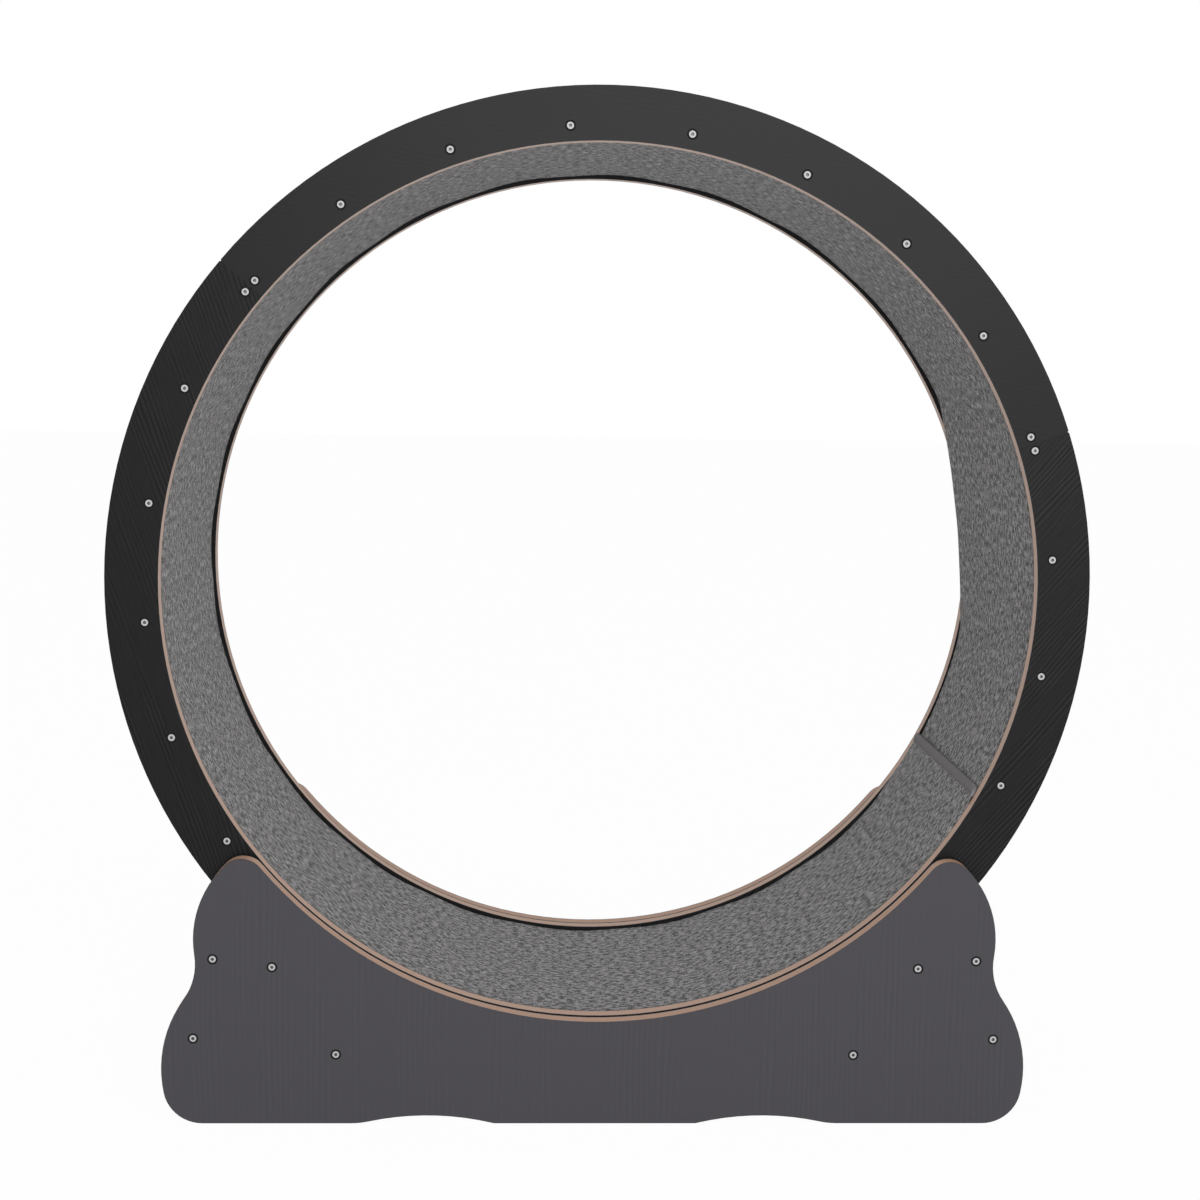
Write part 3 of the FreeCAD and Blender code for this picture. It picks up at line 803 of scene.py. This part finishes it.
countersink_rim(one_screw)
screw_mesh = bpy.data.meshes.new("one screw")
one_screw.to_mesh(screw_mesh)
one_screw.free()
zinc = fine_finish("dull zinc", colour(0.31, 0.31, 0.32), colour(0.45, 0.45, 0.45),
                   (1800, 1800, 1800), 0.2, 0.00004, Metallic=0.35, Roughness=0.65)
# Darker metal in the socket: painted shade of the recess, not a different metal.
socket_painted_shade = fine_finish("socket painted shade", colour(0.10, 0.10, 0.10), colour(0.16, 0.16, 0.16),
                          (1500, 1500, 1500), 0.1, 0.00004, Metallic=1.0, Roughness=0.5)
# A near-black matt ring: painted shade of the countersink gap.
countersink_painted_shade = fine_finish("countersink painted shade", colour(0.004, 0.004, 0.004), colour(0.012, 0.011, 0.010),
                              (2500, 2500, 2500), 0.3, 0.0001, Roughness=0.8, Specular_IOR_Level=0.1)
print("screw finishes ready")

# %% [markdown]
# The places of the screws follow the boards: on the rings one at each end of a slat, or
# two side by side where a slat bridges a butt joint, and on the base panels one for each
# bar, shaft and end board. The screws of the CAD model sit exactly there, so their
# places are read from its solids: vertices close together belong to one screw.

# %% Read the places of the screws from the model
HEAD_PLANE, ONE_HEAD = 0.0005, 0.009


def screw_places(node):
    """Middle of each screw of a CAD node, as (x, z)."""
    vertices = frame["nodes"][node].data.vertices
    face = max(abs(vertex.co.y) for vertex in vertices)
    heads = {}
    for x, y, z in (vertex.co for vertex in vertices):
        if abs(y) > face - HEAD_PLANE:
            near = next((key for key in heads if math.dist(key, (x, z)) < ONE_HEAD), (x, z))
            heads.setdefault(near, set()).add((round(x, 6), round(z, 6)))
    return [(sum(x for x, _ in found) / len(found), sum(z for _, z in found) / len(found))
            for found in heads.values()]


for node in ("front_ring_screws", "front_base_screws"):
    print(node, "has", len(screw_places(node)), "screws")

# %% [markdown]
# A copy is placed by one matrix: the screw's own socket is turned by a different angle
# each time, because nobody lines up sockets, and at the back the whole screw faces the
# other way.

# %% Put a screw in each place
SOCKET_TURN = 2.4


def screw_set(node, face, body):
    """All screws of one CAD node, as one piece."""
    back = node.startswith("back")
    builder = bmesh.new()
    for count, (x, z) in enumerate(screw_places(node)):
        before = len(builder.verts)
        builder.from_mesh(screw_mesh)
        builder.verts.ensure_lookup_table()
        turn = Matrix.Rotation(count * SOCKET_TURN, 4, "Y")
        about = Matrix.Rotation(math.pi, 4, "Z") if back else Matrix.Identity(4)
        place = Matrix.Translation((x, face if back else -face, z))
        bmesh.ops.transform(builder, matrix=place @ about @ turn, verts=builder.verts[before:])
    finish_piece(node.replace("screws", "socket_screws"), builder, body,
                 [zinc, socket_painted_shade, countersink_painted_shade], [node])


for end in ("front", "back"):
    screw_set(end + "_ring_screws", RING_FACE, "wheel")
    screw_set(end + "_base_screws", PANEL_FACE, "base")

# %% [markdown]
# ## The ball bearings
#
# Each ring rolls on two small ball bearings. A bearing is all turned shapes, so each part
# is a section spun round the shaft: the outer race with its pressed shields, which turns
# with the wheel, and the inner race, which stays on the shaft.

# %% Spin the bearings
OUTER_SECTION = [(6.3, -3.0), (9.1, -3.0), (9.4, -3.5), (10.7, -3.5), (11.0, -3.2),
                 (11.0, 3.2), (10.7, 3.5), (9.4, 3.5), (9.1, 3.0), (6.3, 3.0)]
INNER_SECTION = [(4.0, -3.2), (4.3, -3.5), (5.8, -3.5), (6.1, -3.2),
                 (6.1, 3.2), (5.8, 3.5), (4.3, 3.5), (4.0, 3.2)]
SPIN_STEPS = 48


def spun(builder, section, centre):
    """Spin a closed section, in millimetres from the bearing's middle, round the shaft."""
    verts = [builder.verts.new(centre + Vector((radius / 1000, y / 1000, 0))) for radius, y in section]
    face = builder.faces.new(verts)
    edges = list(face.edges)
    builder.faces.remove(face)
    bmesh.ops.spin(builder, geom=verts + edges, cent=centre, axis=(0, 1, 0), steps=SPIN_STEPS,
                   angle=2 * math.pi, use_merge=True, use_duplicate=False)
    bmesh.ops.remove_doubles(builder, verts=builder.verts, dist=1e-6)
    bmesh.ops.recalc_face_normals(builder, faces=builder.faces)


ground_steel = fine_finish("ground steel", colour(0.55, 0.55, 0.56), colour(0.68, 0.68, 0.69),
                           (1500, 1500, 1500), 0.1, 0.00003, Metallic=1.0, Roughness=0.22)
for side in ("left", "right"):
    inner = bmesh.new()
    for end in ("front", "back"):
        node = "%s_%s_roller" % (end, side)
        middle = sum(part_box(node), Vector()) / 2
        spun(inner, INNER_SECTION, middle)
        outer = bmesh.new()
        spun(outer, OUTER_SECTION, middle)
        finish_piece(node + "_race", outer, node, [ground_steel], [node])
    finish_piece(side + "_bearing_bores", inner, "base", [ground_steel],
                 [side + "_bearing_inner_races"])

# %% [markdown]
# ## Floor, background and light
#
# A product photograph has a white surround and soft light from all sides. The world
# gives the soft light. What the camera, a reflection or a clear material sees of it is
# plain white, and what lights the wheel is dimmer, so the white background costs no
# extra light.

# %% Make the surroundings
SKY_STRENGTH = 0.6


def seen_directly(tree):
    """1 for rays from the camera, from reflections and through clear material."""
    path = add(tree, "LightPath", {}).outputs
    plain = maths(tree, "ADD", path["Is Camera Ray"], path["Is Glossy Ray"], clamp=True)
    return maths(tree, "ADD", plain, path["Is Transmission Ray"], clamp=True)


world = bpy.data.worlds.new("studio")
bpy.context.scene.world = world
world.use_nodes = True
sky = world.node_tree
sky.nodes["Background"].inputs["Color"].default_value = colour(1.0, 0.995, 0.99)
sky.nodes["Background"].inputs["Strength"].default_value = SKY_STRENGTH
white = add(sky, "Background", {"Color": colour(1, 1, 1), "Strength": 1.0})
joined = add(sky, "MixShader", {0: seen_directly(sky), 1: sky.nodes["Background"].outputs[0],
                                2: white.outputs[0]})
sky.links.new(joined.outputs[0], sky.nodes["World Output"].inputs["Surface"])
print("world ready")

# %% [markdown]
# The wheel stands on a wide pale floor. Seen directly, the floor is almost all glow, in the
# same white as the background, so no edge shows between the two. The rest of it is matt, so
# it still takes the wheel's shadow, and to all other light it is a plain matt floor that
# throws light back up.

# %% The floor
FLOOR_SIZE, FLOOR_PALE, GLOW_SHARE = 30, 0.86, 0.97


def studio_floor():
    """A single square of floor."""
    builder = bmesh.new()
    bmesh.ops.create_grid(builder, x_segments=1, y_segments=1, size=FLOOR_SIZE)
    mesh = bpy.data.meshes.new("floor")
    builder.to_mesh(mesh)
    builder.free()
    material = bpy.data.materials.new("pale floor")
    material.use_nodes = True
    tree = material.node_tree
    matt = add(tree, "BsdfDiffuse", {"Color": colour(FLOOR_PALE, FLOOR_PALE, FLOOR_PALE)})
    glow = add(tree, "Emission", {"Color": colour(1, 1, 1), "Strength": 1.0})
    share = maths(tree, "MULTIPLY", seen_directly(tree), GLOW_SHARE)
    mixed = add(tree, "MixShader", {0: share, 1: matt.outputs[0], 2: glow.outputs[0]})
    tree.links.new(mixed.outputs[0], tree.nodes["Material Output"].inputs["Surface"])
    mesh.materials.append(material)
    floor = bpy.data.objects.new("floor", mesh)
    bpy.context.scene.collection.objects.link(floor)


studio_floor()
print("floor ready")

# %% [markdown]
# Two large soft lamps shape the wheel: one high in front, which also puts the pale sheen
# on the upper part of the black rings, and a low one that fills the lower half and stays
# out of the reflections. Large lamps give the soft shadows of a light tent.

# %% The lamps
def softbox(name, place, aim, size, power):
    """A round lamp of this diameter and power, turned towards a point."""
    lamp = bpy.data.lights.new(name, "AREA")
    lamp.shape, lamp.size, lamp.energy = "DISK", size, power
    holder = bpy.data.objects.new(name, lamp)
    bpy.context.scene.collection.objects.link(holder)
    holder.location = place
    holder.rotation_euler = (Vector(aim) - Vector(place)).to_track_quat("-Z", "Y").to_euler()
    return holder


softbox("high front", (0.5, -3.2, 1.75), (0, 0, 0.6), 2.7, 68)
low = softbox("low front", (0, -3.2, 0.35), (0, 0, 0.8), 1.5, 40)
low.visible_glossy = False

# %% [markdown]
# ## Last steps
#
# The view transform stays plain, so a colour shows as it was written.

# %% Set the view transform
bpy.context.scene.view_settings.view_transform = "Standard"
